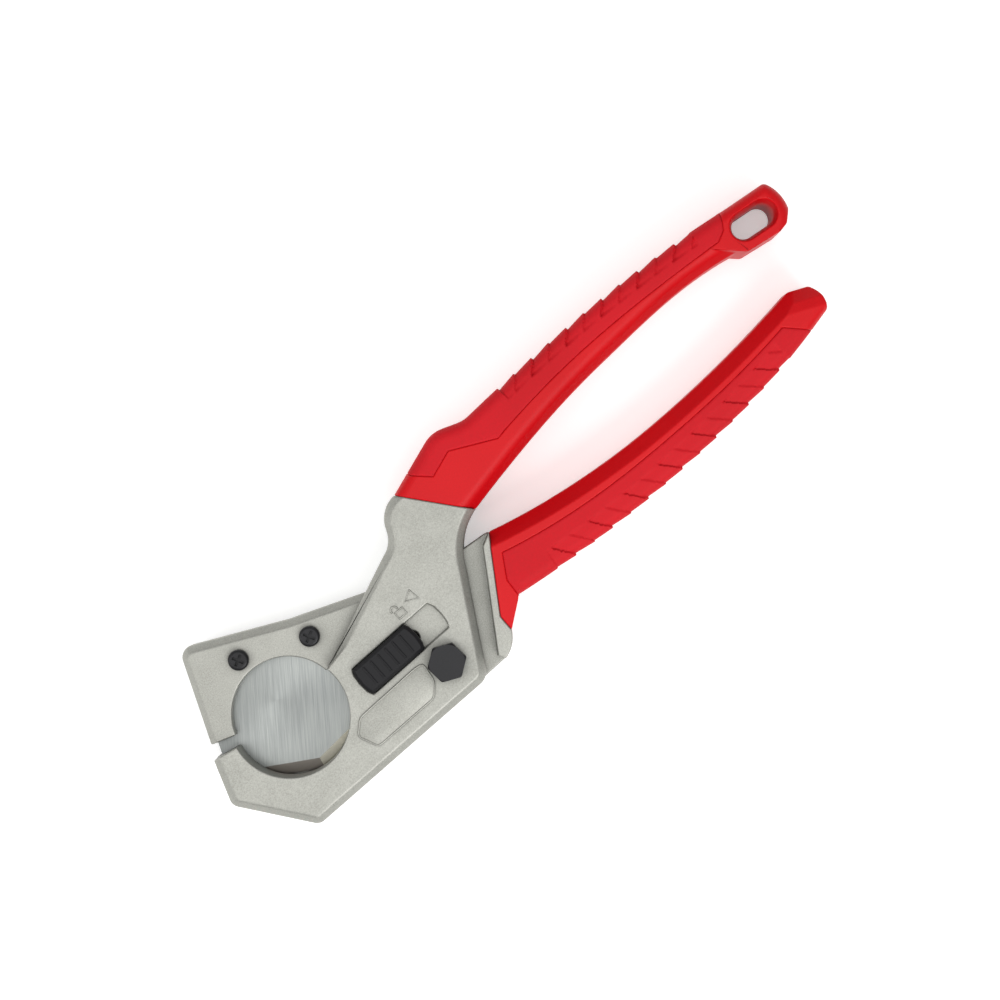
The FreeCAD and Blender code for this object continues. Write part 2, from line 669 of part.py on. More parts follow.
def upper_handle_parts():
    grip_region = prism([
        (28.5, 60.0), (30.0, 41.6), (34.0, 36.9), (41.8, 38.7), (53.5, 31.2),
        ("curve", (75.2, 31.4), (91.0, 30.3), (109.4, 27.9), (133.0, 23.8)),
        (136.2, 25.0), (139.2, 29.0), (141.0, 60.0),
    ], -1, body_t + 1)
    inset = [(20.0, 40.0), (42.0, 42.4), (50.0, 38.6), (80.0, 36.5), (110.0, 32.4), (134.0, 27.6), (140.0, 10.0),
             (20.0, 10.0)]
    return handle_pair(upper_handle(), grip_region, inset, tang(True), hang_hole_cut())


def hang_hole_cut():
    """The oblong hole, and the flare at its two mouths."""
    length, width = hang_hole_size
    hole = obround(hang_hole, hang_hole_deg, length, width, -1, body_t + 1)
    wide = 2 * hang_hole_flare
    flare = Part.makeLoft([
        obround_wire(hang_hole, hang_hole_deg, length, width, body_t - hang_hole_flare_z),
        obround_wire(hang_hole, hang_hole_deg, length + wide, width + wide, body_t),
    ], True)
    return [hole, flare, mirrored(flare)]


def lower_handle_parts():
    grip_region = prism([
        (27.0, -40.0), (26.4, -1.7), (27.2, 3.2), (31.8, 9.3),
        ("curve", (47.8, 4.1), (68.1, -0.3), (84.4, -2.5), (105.9, -4.4), (127.8, -4.6)),
        (133.2, -11.4), (133.2, -40.0),
    ], -1, body_t + 1)
    inset = [(24.0, 2.0), (54.0, -4.8), (80.0, -8.3), (110.0, -9.6), (131.0, -8.6), (136.0, 20.0), (24.0, 20.0)]
    return handle_pair(lower_handle(), grip_region, inset, tang(False), [])


# ---- Everything ------------------------------------------------------------------------------------------
def build():
    upper_shell, upper_grip = upper_handle_parts()
    lower_shell, lower_grip = lower_handle_parts()
    return {
        "front_frame": [front_frame()],
        "rear_frame": [rear_frame()],
        "frame_screws": frame_screws(),
        "frame_dowels": frame_dowels(),
        "pivot_bolt": [pivot_bolt()],
        "pivot_nut": [pivot_nut()],
        "upper_handle_shell": [upper_shell],
        "upper_handle_grip": [upper_grip],
        "arm_casting": [arm_casting()],
        "front_bush": [bush(True)],
        "rear_bush": [bush(False)],
        "blade": [blade()],
        "blade_screws": blade_screws(),
        "lower_handle_shell": [lower_shell],
        "lower_handle_grip": [lower_grip],
        "opening_spring": [opening_spring()],
        "lock_button": [lock_button()],
        "lock_pin": [lock_pin()],
        "lock_retainer": [lock_retainer()],
    }


def main():
    pieces = build()
    everything = Part.Compound([s for solids in pieces.values() for s in solids])
    box = everything.optimalBoundingBox(False, False)
    middle = V(-box.Center.x, -box.Center.y, 0)
    print("pivot in the tool's frame: %.4f %.4f" % (middle.x, middle.y))
    os.makedirs("parts", exist_ok=True)
    for name, shapes in pieces.items():
        solids = [s for shape in shapes for s in shape.Solids]
        print(name, len(solids), all(s.isValid() for s in solids), round(sum(s.Volume for s in solids)))
        node = Part.Compound(solids)
        node.translate(middle)
        node.exportStep("parts/%s.step" % name)


main()
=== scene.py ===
import json
import math

import bmesh
import bpy
from mathutils import Matrix, Vector


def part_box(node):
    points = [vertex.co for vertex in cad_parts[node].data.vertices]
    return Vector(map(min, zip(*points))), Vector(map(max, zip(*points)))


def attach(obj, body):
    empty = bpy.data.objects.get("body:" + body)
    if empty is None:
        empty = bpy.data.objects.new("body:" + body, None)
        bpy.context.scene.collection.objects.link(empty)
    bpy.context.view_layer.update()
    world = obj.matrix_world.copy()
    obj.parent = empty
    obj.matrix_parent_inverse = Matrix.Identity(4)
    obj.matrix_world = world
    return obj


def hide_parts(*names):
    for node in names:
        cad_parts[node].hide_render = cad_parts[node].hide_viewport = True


mm = 0.001
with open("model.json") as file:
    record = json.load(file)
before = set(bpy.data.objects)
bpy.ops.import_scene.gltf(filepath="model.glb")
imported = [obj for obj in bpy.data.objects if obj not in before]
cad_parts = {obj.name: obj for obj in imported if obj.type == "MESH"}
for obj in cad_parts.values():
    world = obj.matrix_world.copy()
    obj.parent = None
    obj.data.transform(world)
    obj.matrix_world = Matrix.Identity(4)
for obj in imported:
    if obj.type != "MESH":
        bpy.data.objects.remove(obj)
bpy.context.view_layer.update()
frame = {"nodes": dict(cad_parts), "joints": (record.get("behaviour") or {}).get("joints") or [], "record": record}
pivot = Vector(frame["joints"][0]["pos_m"])
print("stage 1: packed model loaded")


def place(x, y, z):
    # a point given in millimetres from the pivot, z up from the rest plane
    return Vector((pivot.x + x * mm, pivot.y + y * mm, z * mm))


def toLinear(hexColour):
    # an sRGB colour as the linear one that a shader takes
    channels = [int(hexColour[i:i + 2], 16) / 255 for i in (1, 3, 5)]
    return [c / 12.92 if c <= 0.04045 else ((c + 0.055) / 1.055) ** 2.4 for c in channels] + [1.0]


def addNode(tree, kind, inputs=None, **settings):
    # an input is a plain value, or the output of another node to link
    node = tree.nodes.new(kind)
    for name, value in settings.items():
        setattr(node, name, value)
    for socket, value in (inputs or {}).items():
        if isinstance(value, bpy.types.NodeSocket):
            tree.links.new(value, node.inputs[socket])
        else:
            node.inputs[socket].default_value = value
    return node


# materials

def startMaterial(name):
    material = bpy.data.materials.new(name)
    material.use_nodes = True
    material.node_tree.nodes.clear()
    return material, material.node_tree


def finishMaterial(tree, inputs):
    shader = addNode(tree, "ShaderNodeBsdfPrincipled", inputs)
    addNode(tree, "ShaderNodeOutputMaterial", {"Surface": shader.outputs["BSDF"]})


casting = {
    "light": "#B5B5AE",
    "dark": "#979790",
    "grain": 0.32,       # mm
    "patch": 9.0,        # mm
    "grainShare": 0.75,
    "patchShare": 0.25,
    "spread": (0.34, 0.66),
    "bump": 0.03,        # mm
    "corner": 7.0,       # mm, how far from a wall the painted shade in the corners reaches
    "cornerShadeRange": (0.35, 0.95),
    "cornerShadeTone": 0.62,
    "roughness": (0.42, 0.62),
    "metallic": 0.72,
}


def makeCastingMaterial():
    # die-cast aluminium, tumbled: a satin grey skin with a fine sparkle of grain, soft cloudy patches, and painted
    # shade in the corners
    material, tree = startMaterial("dieCastAluminium")
    spot = addNode(tree, "ShaderNodeTexCoord").outputs["Object"]
    grain = addNode(tree, "ShaderNodeTexNoise", {"Vector": spot, "Scale": 1000 / casting["grain"], "Detail": 3.0})
    patch = addNode(tree, "ShaderNodeTexNoise", {"Vector": spot, "Scale": 1000 / casting["patch"], "Detail": 2.0})
    weight = addNode(tree, "ShaderNodeMath", {0: grain.outputs["Fac"], 1: casting["grainShare"]},
                     operation="MULTIPLY")
    both = addNode(tree, "ShaderNodeMath", {0: patch.outputs["Fac"], 1: casting["patchShare"],
                                            2: weight.outputs[0]},
                   operation="MULTIPLY_ADD")
    spread = addNode(tree, "ShaderNodeMapRange", {"Value": both.outputs[0], "From Min": casting["spread"][0],
                                                  "From Max": casting["spread"][1]})
    skin = addNode(tree, "ShaderNodeMix", {0: spread.outputs["Result"], 6: toLinear(casting["dark"]),
                                           7: toLinear(casting["light"])}, data_type="RGBA")
    # painted shade: the colour is darkened in the corners between walls, where shade falls
    corner = addNode(tree, "ShaderNodeAmbientOcclusion", {"Distance": casting["corner"] * mm}, samples=8)
    narrow, wide = casting["cornerShadeRange"]
    # kept is how much of the colour the painted shade leaves
    kept = addNode(tree, "ShaderNodeMapRange", {"Value": corner.outputs["AO"], "From Min": narrow, "From Max": wide,
                                                "To Min": casting["cornerShadeTone"], "To Max": 1.0})
    colour = addNode(tree, "ShaderNodeVectorMath", {0: skin.outputs[2], 3: kept.outputs["Result"]},
                     operation="SCALE")
    rough = addNode(tree, "ShaderNodeMapRange", {"Value": grain.outputs["Fac"], "To Min": casting["roughness"][0],
                                                 "To Max": casting["roughness"][1]})
    bump = addNode(tree, "ShaderNodeBump", {"Height": grain.outputs["Fac"], "Distance": casting["bump"] * mm,
                                            "Strength": 0.6})
    finishMaterial(tree, {"Base Color": colour.outputs[0], "Metallic": casting["metallic"],
                          "Roughness": rough.outputs["Result"], "Normal": bump.outputs["Normal"]})
    return material


bladeSteel = {
    "light": "#9FA29F",
    "dark": "#828584",
    "ground": "#E2DECF",   # the ground bevel on the handle side, painted bright as a painted highlight
    "shadedGroundBevel": "#A39C96",     # the other ground bevel, painted darker as painted shade
    "line": 0.35,        # mm across the brushing, coarser than real so that it shows
    "length": 14.0,      # mm along it
    "turn": 43.0,        # degrees from +Y towards +X
    "cloud": 16.0,       # mm
    "lineShare": 0.7,
    "cloudShare": 0.3,
    "spread": (0.35, 0.65),
    "bump": 0.008,       # mm
    "handleSide": (0.79, -0.61, 0),   # across the bevels, towards the one on the handle side, which gets the painted highlight
    "sideLeast": 0.05,
    "flatLeast": 0.99,   # how squarely a face has to look up or down to count as flat
    "roughness": (0.28, 0.48),
    "anisotropic": 0.4,
}


def makeBladeMaterial():
    # hardened steel, belt-brushed across the blade: long fine lines in a neutral grey, with a painted highlight on
    # one bevel and painted shade on the other
    material, tree = startMaterial("brushedToolSteel")
    spot = addNode(tree, "ShaderNodeTexCoord").outputs["Object"]
    turn = (0, 0, math.radians(bladeSteel["turn"]))
    turned = addNode(tree, "ShaderNodeMapping", {"Vector": spot, "Rotation": turn})
    across, along = 1000 / bladeSteel["line"], 1000 / bladeSteel["length"]
    stretched = addNode(tree, "ShaderNodeVectorMath", {0: turned.outputs[0], 1: (across, along, across)},
                       operation="MULTIPLY")
    lines = addNode(tree, "ShaderNodeTexNoise", {"Vector": stretched.outputs[0], "Scale": 1.0, "Detail": 4.0,
                                                 "Roughness": 0.65})
    cloud = addNode(tree, "ShaderNodeTexNoise", {"Vector": spot, "Scale": 1000 / bladeSteel["cloud"],
                                                 "Detail": 1.0})
    weight = addNode(tree, "ShaderNodeMath", {0: lines.outputs["Fac"], 1: bladeSteel["lineShare"]},
                     operation="MULTIPLY")
    both = addNode(tree, "ShaderNodeMath", {0: cloud.outputs["Fac"], 1: bladeSteel["cloudShare"],
                                            2: weight.outputs[0]},
                   operation="MULTIPLY_ADD")
    spread = addNode(tree, "ShaderNodeMapRange", {"Value": both.outputs[0], "From Min": bladeSteel["spread"][0],
                                                  "From Max": bladeSteel["spread"][1]})
    colour = addNode(tree, "ShaderNodeMix", {0: spread.outputs["Result"], 6: toLinear(bladeSteel["dark"]),
                                             7: toLinear(bladeSteel["light"])}, data_type="RGBA")
    # the two ground bevels, told apart from the flat and from each other by the way they face: the one on the
    # handle side gets a painted highlight, the other painted shade
    facing = addNode(tree, "ShaderNodeTexCoord").outputs["Normal"]
    sideways = addNode(tree, "ShaderNodeVectorMath", {0: facing, 1: bladeSteel["handleSide"]},
                       operation="DOT_PRODUCT")
    litBevelSide = addNode(tree, "ShaderNodeMath", {0: sideways.outputs["Value"], 1: bladeSteel["sideLeast"]},
                   operation="GREATER_THAN")
    upward = addNode(tree, "ShaderNodeSeparateXYZ", {0: facing})
    level = addNode(tree, "ShaderNodeMath", {0: upward.outputs["Z"]}, operation="ABSOLUTE")
    bevelled = addNode(tree, "ShaderNodeMath", {0: level.outputs[0], 1: bladeSteel["flatLeast"]},
                       operation="LESS_THAN")
    bevel = addNode(tree, "ShaderNodeMix", {0: litBevelSide.outputs[0], 6: toLinear(bladeSteel["shadedGroundBevel"]),
                                            7: toLinear(bladeSteel["ground"])}, data_type="RGBA")
    tone = addNode(tree, "ShaderNodeMix", {0: bevelled.outputs[0], 6: colour.outputs[2], 7: bevel.outputs[2]},
                   data_type="RGBA")
    rough = addNode(tree, "ShaderNodeMapRange", {"Value": lines.outputs["Fac"],
                                                 "To Min": bladeSteel["roughness"][0],
                                                 "To Max": bladeSteel["roughness"][1]})
    bump = addNode(tree, "ShaderNodeBump", {"Height": lines.outputs["Fac"], "Distance": bladeSteel["bump"] * mm,
                                            "Strength": 0.5})
    finishMaterial(tree, {"Base Color": tone.outputs[2], "Metallic": 1.0, "Roughness": rough.outputs["Result"],
                          "Anisotropic": bladeSteel["anisotropic"], "Normal": bump.outputs["Normal"]})
    return material


speckle = {"broad": 25.0, "spread": (0.7, 1.3), "bumpStrength": 0.5}


def makeSpeckled(name, light, dark, size, roughness, spreadRough, bumpHeight, metallic=0.0, extra=None):
    # moulded, plated and turned finishes: a fine speckle in colour, roughness and height
    material, tree = startMaterial(name)
    spot = addNode(tree, "ShaderNodeTexCoord").outputs["Object"]
    fine = addNode(tree, "ShaderNodeTexNoise", {"Vector": spot, "Scale": 1000 / size, "Detail": 3.0})
    broad = addNode(tree, "ShaderNodeTexNoise", {"Vector": spot, "Scale": 1000 / speckle["broad"], "Detail": 1.0})
    both = addNode(tree, "ShaderNodeMath", {0: fine.outputs["Fac"], 1: broad.outputs["Fac"]}, operation="ADD")
    spread = addNode(tree, "ShaderNodeMapRange", {"Value": both.outputs[0], "From Min": speckle["spread"][0],
                                                  "From Max": speckle["spread"][1]})
    colour = addNode(tree, "ShaderNodeMix", {0: spread.outputs["Result"], 6: toLinear(dark), 7: toLinear(light)},
                     data_type="RGBA")
    rough = addNode(tree, "ShaderNodeMapRange", {"Value": fine.outputs["Fac"], "To Min": roughness - spreadRough,
                                                 "To Max": roughness + spreadRough})
    bump = addNode(tree, "ShaderNodeBump", {"Height": fine.outputs["Fac"], "Distance": bumpHeight * mm,
                                            "Strength": speckle["bumpStrength"]})
    finishMaterial(tree, {"Base Color": colour.outputs[2], "Metallic": metallic,
                          "Roughness": rough.outputs["Result"], "Normal": bump.outputs["Normal"], **(extra or {})})
    return material


materials = {
    "cast_metal": makeCastingMaterial(),
    "blade_steel": makeBladeMaterial(),
    # glass-filled nylon with a fine spark-eroded skin: saturated red, satin
    "hard_red": makeSpeckled("mouldedNylon", "#D00813", "#C4050F", 0.5, 0.45, 0.05, 0.012,
                             extra={"Specular IOR Level": 0.22}),
    # thermoplastic rubber, matt from the mould: a little duller and paler than the nylon
    "soft_red": makeSpeckled("thermoplasticRubber", "#C90D1C", "#BD0B18", 0.6, 0.66, 0.06, 0.02,
                             extra={"Specular IOR Level": 0.25}),
    # black oxide over steel: nearly black, low sheen
    "black_steel": makeSpeckled("blackOxideSteel", "#1C1C1F", "#121214", 0.4, 0.42, 0.07, 0.01, 0.35),
    # glass-filled nylon, black, from an eroded mould
    "black_plastic": makeSpeckled("blackNylon", "#111114", "#0B0B0E", 0.45, 0.52, 0.06, 0.015,
                                  extra={"Specular IOR Level": 0.3}),
    # ground and turned steel, plain
    "plain_steel": makeSpeckled("groundSteel", "#B6B6B8", "#9A9A9C", 0.3, 0.32, 0.05, 0.004, 1.0),
    # hard-drawn spring wire
    "spring_steel": makeSpeckled("springWire", "#9C9CA0", "#7E7E82", 0.3, 0.35, 0.05, 0.004, 1.0),
    # sintered bronze with its pores
    "bronze": makeSpeckled("sinteredBronze", "#B08A52", "#8E6C3C", 0.25, 0.5, 0.08, 0.01, 1.0),
}
slotOf = {part["node"]: part["material_slot"] for part in frame["record"]["subparts"]}
print("stage 2: materials made")


# helpers for pieces

def plainMesh(obj):
    # what the modifiers make becomes the object's own mesh
    graph = bpy.context.evaluated_depsgraph_get()
    mesh = bpy.data.meshes.new_from_object(obj.evaluated_get(graph))
    obj.modifiers.clear()
    obj.data = mesh
    return obj


def addPiece(name, mesh, slotName):
    obj = bpy.data.objects.new(name, mesh)
    bpy.context.scene.collection.objects.link(obj)
    mesh.materials.clear()
    mesh.materials.append(materials[slotName])
    return obj


def smoothShade(obj, degrees):
    obj.data.shade_smooth()
    obj.data.set_sharp_from_angle(angle=math.radians(degrees))


merging = {"distance": 0.002, "flatAngle": 0.4}   # mm and degrees


def joinFaces(work):
    # merges double corners and joins the triangles of each flat face
    bmesh.ops.remove_doubles(work, verts=work.verts, dist=merging["distance"] * mm)
    bmesh.ops.dissolve_limit(work, angle_limit=math.radians(merging["flatAngle"]), verts=work.verts,
                             edges=work.edges)


def mergedCopy(node, name):
    # the CAD mesh is loose triangles, so they are joined first
    mesh = frame["nodes"][node].data.copy()
    work = bmesh.new()
    work.from_mesh(mesh)
    joinFaces(work)
    work.to_mesh(mesh)
    work.free()
    for oldNormals in [a.name for a in mesh.attributes if a.name.startswith("custom_normal")]:
        mesh.attributes.remove(mesh.attributes[oldNormals])
    return addPiece(name, mesh, slotOf[node])


def runTree(obj, tree, values):
    # puts a Geometry Nodes tree on obj with its named inputs, and keeps the result as a plain mesh
    modifier = obj.modifiers.new(tree.name, "NODES")
    modifier.node_group = tree
    names = {s.name: s.identifier for s in tree.interface.items_tree if s.in_out == "INPUT"}
    for name, value in values.items():
        modifier[names[name]] = value
    return plainMesh(obj)


def startTree(name, inputs):
    tree = bpy.data.node_groups.new(name, "GeometryNodeTree")
    tree.interface.new_socket("Geometry", in_out="OUTPUT", socket_type="NodeSocketGeometry")
    tree.interface.new_socket("Geometry", in_out="INPUT", socket_type="NodeSocketGeometry")
    for label, kind in inputs.items():
        tree.interface.new_socket(label, in_out="INPUT", socket_type="NodeSocket" + kind)
    return tree, addNode(tree, "NodeGroupInput").outputs


def finishTree(tree, geometry, material):
    real = addNode(tree, "GeometryNodeRealizeInstances", {"Geometry": geometry})
    painted = addNode(tree, "GeometryNodeSetMaterial", {"Geometry": real.outputs[0], "Material": material})
    addNode(tree, "NodeGroupOutput", {"Geometry": painted.outputs[0]})


# castings and shells: softened copies of the CAD pieces

softEdges = {
    "front_frame": {"body": "frame", "width": 0.45, "angle": 24},
    "arm_casting": {"body": "arm", "width": 0.45, "angle": 24},
    "upper_handle_shell": {"body": "frame", "width": 0.4, "angle": 20},
    "lower_handle_shell": {"body": "arm", "width": 0.4, "angle": 20},
    "lock_button": {"body": "lock", "width": 0.12, "angle": 24},
}
softening = {"segments": 3, "shadeAngle": 35, "weight": 80}
boss = {"inner": 6.6, "outer": 7.0, "above": 20.1, "face": 20.0}   # mm: radii from the pivot, then heights


def fadeBoss(obj):
    # the rim of the low boss under the bolt head runs out into the face
    work = bmesh.new()
    work.from_mesh(obj.data)
    for v in work.verts:
        radius = (v.co.xy - pivot.xy).length
        if boss["inner"] * mm < radius < boss["outer"] * mm and v.co.z > boss["above"] * mm:
            v.co.z = boss["face"] * mm
    joinFaces(work)
    work.to_mesh(obj.data)
    work.free()


def keepInside(obj, node):
    # a bevel can overshoot where short edges meet, so every corner is kept within the piece's own box
    low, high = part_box(node)
    for v in obj.data.vertices:
        v.co = [max(low[i], min(high[i], v.co[i])) for i in range(3)]


def softenPiece(node, values):
    obj = mergedCopy(node, node.replace("_", "-") + "-soft")
    if node == "front_frame":
        fadeBoss(obj)
    edge = obj.modifiers.new("edges", "BEVEL")
    edge.width = values["width"] * mm
    edge.segments = softening["segments"]
    edge.limit_method = "ANGLE"
    edge.angle_limit = math.radians(values["angle"])
    edge.use_clamp_overlap = False
    plainMesh(obj)
    keepInside(obj, node)
    smoothShade(obj, softening["shadeAngle"])
    flatten = obj.modifiers.new("flatten", "WEIGHTED_NORMAL")
    flatten.keep_sharp = True
    flatten.weight = softening["weight"]
    plainMesh(obj)
    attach(obj, values["body"])
    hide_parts(node)
    return obj


for node, values in softEdges.items():
    softenPiece(node, values)
print("stage 3: castings and shells softened")


# soft grips with stepped ridges

ridges = {
    "pitch": 6.2,        # mm between steps
    "slant": 0.85,       # mm that a step runs back towards the jaws, per mm in from the edge
    "fade": 0.7,         # mm over which the ridges run out
    "voxel": 0.32,       # mm
    "smoothing": 2,
    "relax": 0.5,
    "lineStep": 0.2,     # mm between the points along the edge line
    "shadeAngle": 50,    # degrees
}
gripLines = {
    "upper_handle_grip": {
        "body": "frame",
        "edge": [(51.0, 41.3), (58.0, 40.7), (70.5, 40.1), (83.0, 38.9), (95.6, 37.4), (107.8, 35.5),
                 (119.9, 33.4), (130.0, 31.2)],
        "start": 12.4, "end": 79.5, "band": 4.4, "step": 0.8, "smallStep": 0.5,
    },
    "lower_handle_grip": {
        "body": "arm",
        "edge": [(33.0, -3.4), (40.8, -5.1), (54.6, -7.8), (67.4, -9.8), (80.5, -11.1), (92.7, -11.9),
                 (104.7, -12.3), (116.4, -12.2), (126.0, -11.6)],
        "start": 6.2, "end": 91.0, "band": 6.0, "step": 0.6, "smallStep": 0.35,
    },
}


def makeRidgeTree():
    # steps across the grip: each rises towards the handle's end and then drops
    tree, given = startTree("gripRidges", {
        "Edge line": "Object", "Pitch": "Float", "Step": "Float", "Small step": "Float", "Slant": "Float",
        "Band": "Float", "Fade": "Float", "Start": "Float", "End": "Float"})
    line = addNode(tree, "GeometryNodeObjectInfo", {"Object": given["Edge line"]})
    dense = addNode(tree, "GeometryNodeResampleCurve", {
        "Curve": line.outputs["Geometry"], "Length": ridges["lineStep"] * mm}, mode="LENGTH")
    onCurve = addNode(tree, "GeometryNodeSplineParameter")
    kept = addNode(tree, "GeometryNodeStoreNamedAttribute", {"Geometry": dense.outputs[0], "Name": "alongEdge",
                                                             "Value": onCurve.outputs["Length"]}, data_type="FLOAT")
    wire = addNode(tree, "GeometryNodeCurveToMesh", {"Curve": kept.outputs[0]})
    here = addNode(tree, "GeometryNodeInputPosition")
    flat = addNode(tree, "ShaderNodeVectorMath", {0: here.outputs[0], 1: (1, 1, 0)}, operation="MULTIPLY")
    nearest = addNode(tree, "GeometryNodeSampleNearest", {"Geometry": wire.outputs[0],
                                                          "Sample Position": flat.outputs[0]})
    alongRead = addNode(tree, "GeometryNodeInputNamedAttribute", {"Name": "alongEdge"}, data_type="FLOAT")
    along = addNode(tree, "GeometryNodeSampleIndex", {"Geometry": wire.outputs[0], "Index": nearest.outputs[0],
                                                      "Value": alongRead.outputs[0]}, data_type="FLOAT")
    nearPlace = addNode(tree, "GeometryNodeInputPosition")
    nearSpot = addNode(tree, "GeometryNodeSampleIndex", {"Geometry": wire.outputs[0], "Index": nearest.outputs[0],
                                                         "Value": nearPlace.outputs[0]}, data_type="FLOAT_VECTOR")
    gap = addNode(tree, "ShaderNodeVectorMath", {0: flat.outputs[0], 1: nearSpot.outputs[0]}, operation="DISTANCE")
    leant = addNode(tree, "ShaderNodeMath", {0: gap.outputs["Value"], 1: given["Slant"], 2: along.outputs[0]},
                    operation="MULTIPLY_ADD")
    turns = addNode(tree, "ShaderNodeMath", {0: leant.outputs[0], 1: given["Pitch"]}, operation="DIVIDE")
    tooth = addNode(tree, "ShaderNodeMath", {0: turns.outputs[0]}, operation="FRACT")
    count = addNode(tree, "ShaderNodeMath", {0: turns.outputs[0]}, operation="FLOOR")
    odd = addNode(tree, "ShaderNodeMath", {0: count.outputs[0], 1: 2.0}, operation="FLOORED_MODULO")
    height = addNode(tree, "ShaderNodeMix", {0: odd.outputs[0], 2: given["Step"], 3: given["Small step"]},
                     data_type="FLOAT")
    hollow = addNode(tree, "ShaderNodeMath", {0: tooth.outputs[0], 1: 1.0}, operation="SUBTRACT")
    depth = addNode(tree, "ShaderNodeMath", {0: hollow.outputs[0], 1: height.outputs[0]}, operation="MULTIPLY")
    inner = addNode(tree, "ShaderNodeMath", {0: given["Band"], 1: given["Fade"]}, operation="SUBTRACT")
    across = addNode(tree, "ShaderNodeMapRange", {"Value": gap.outputs["Value"], "From Min": inner.outputs[0],
                                                  "From Max": given["Band"], "To Min": 1.0, "To Max": 0.0},
                     interpolation_type="SMOOTHSTEP")
    begun = addNode(tree, "ShaderNodeMath", {0: along.outputs[0], 1: given["Start"]}, operation="GREATER_THAN")
    notOver = addNode(tree, "ShaderNodeMath", {0: along.outputs[0], 1: given["End"]}, operation="LESS_THAN")
    within = addNode(tree, "ShaderNodeMath", {0: begun.outputs[0], 1: notOver.outputs[0]}, operation="MULTIPLY")
    mask = addNode(tree, "ShaderNodeMath", {0: across.outputs["Result"], 1: within.outputs[0]},
                   operation="MULTIPLY")
    amount = addNode(tree, "ShaderNodeMath", {0: depth.outputs[0], 1: mask.outputs[0]}, operation="MULTIPLY")
    outwards = addNode(tree, "GeometryNodeInputNormal")
    offset = addNode(tree, "ShaderNodeVectorMath", {0: outwards.outputs[0], 3: amount.outputs[0]},
                     operation="SCALE")
    moved = addNode(tree, "GeometryNodeSetPosition", {"Geometry": given["Geometry"], "Offset": offset.outputs[0]})
    finishTree(tree, moved.outputs[0], materials["soft_red"])
    return tree


ridgeTree = makeRidgeTree()


def makeEdgeLine(name, points):
    curve = bpy.data.curves.new(name, "CURVE")
    curve.dimensions = "3D"
    spline = curve.splines.new("POLY")
    spline.points.add(len(points) - 1)
    for point, (x, y) in zip(spline.points, points):
        point.co = (*place(x, y, 0.0), 1.0)
    obj = bpy.data.objects.new(name, curve)
    bpy.context.scene.collection.objects.link(obj)
    return obj


def makeGrip(node, values):
    obj = mergedCopy(node, node.replace("_", "-") + "-ridged")
    skin = obj.modifiers.new("skin", "REMESH")
    skin.mode = "VOXEL"
    skin.voxel_size = ridges["voxel"] * mm
    relax = obj.modifiers.new("relax", "SMOOTH")
    relax.iterations = ridges["smoothing"]
    relax.factor = ridges["relax"]
    plainMesh(obj)
    line = makeEdgeLine("edgeLine", values["edge"])
    runTree(obj, ridgeTree, {
        "Edge line": line, "Pitch": ridges["pitch"] * mm, "Step": values["step"] * mm,
        "Small step": values["smallStep"] * mm, "Slant": ridges["slant"], "Band": values["band"] * mm,
        "Fade": ridges["fade"] * mm, "Start": values["start"] * mm, "End": values["end"] * mm})
    bpy.data.objects.remove(line)
    smoothShade(obj, ridges["shadeAngle"])
    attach(obj, values["body"])
    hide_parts(node)
    print("  grip", node, len(obj.data.polygons), "faces")


for node, values in gripLines.items():
    makeGrip(node, values)
print("stage 4: grips made")


# raised marks cast on the front face

marks = {
    "face": 20.0,        # mm, the front face
    "bead": 0.26,        # mm, radius of the raised lines
    "beadSides": 8,
    "padHeight": 0.26,   # mm
    "padCorner": 1.0,    # mm cut from each side of a corner
    "padEdge": 0.12,     # mm
    "padEdgeSegments": 2,
    "padEdgeAngle": 40,  # degrees
    "padSink": 0.1,      # mm that the pad starts under the face
    "padBeadSink": 0.05,   # mm that its bead's middle is under the pad's top
    "shadeAngle": 35,    # degrees
}
padOutline = [(-27.1, 6.9), (-31.1, 3.8), (-29.2, -2.0), (-9.5, -4.0), (-6.1, -0.9), (-4.8, 4.5), (-7.2, 5.2)]


def ringPoints(x, y, radius, start, end, count):
    return [(x + radius * math.cos(math.radians(start + (end - start) * i / count)),
             y + radius * math.sin(math.radians(start + (end - start) * i / count))) for i in range(count + 1)]


def roundCorners(points, cut):
    # replaces each corner by three points, so that the outline turns softly
    out = []
    for i, (x, y) in enumerate(points):
        here, before, after = Vector((x, y)), Vector(points[i - 1]), Vector(points[(i + 1) % len(points)])
        a = here + (before - here).normalized() * cut
        b = here + (after - here).normalized() * cut
        out += [a, (a + b + 2 * here) / 4, b]
    return [(p.x, p.y) for p in out]


def makeBeadTree():
    # a round bead along every line of the mesh it is given
    tree, given = startTree("castBeads", {"Radius": "Float"})
    path = addNode(tree, "GeometryNodeMeshToCurve", {"Mesh": given["Geometry"]})
    section = addNode(tree, "GeometryNodeCurvePrimitiveCircle", {"Resolution": marks["beadSides"],
                                                                 "Radius": given["Radius"]})
    bead = addNode(tree, "GeometryNodeCurveToMesh", {"Curve": path.outputs[0],
                                                     "Profile Curve": section.outputs[0], "Fill Caps": True})
    soft = addNode(tree, "GeometryNodeSetShadeSmooth", {"Geometry": bead.outputs[0]})
    finishTree(tree, soft.outputs[0], materials["cast_metal"])
    return tree


def makeLines(name, lines, height):
    mesh = bpy.data.meshes.new(name)
    spots, edges = [], []
    for points, closed in lines:
        first = len(spots)
        spots += [place(x, y, height) for x, y in points]
        edges += [(first + i, first + i + 1) for i in range(len(points) - 1)]
        if closed:
            edges.append((first + len(points) - 1, first))
    mesh.from_pydata(spots, edges, [])
    return addPiece(name, mesh, "cast_metal")


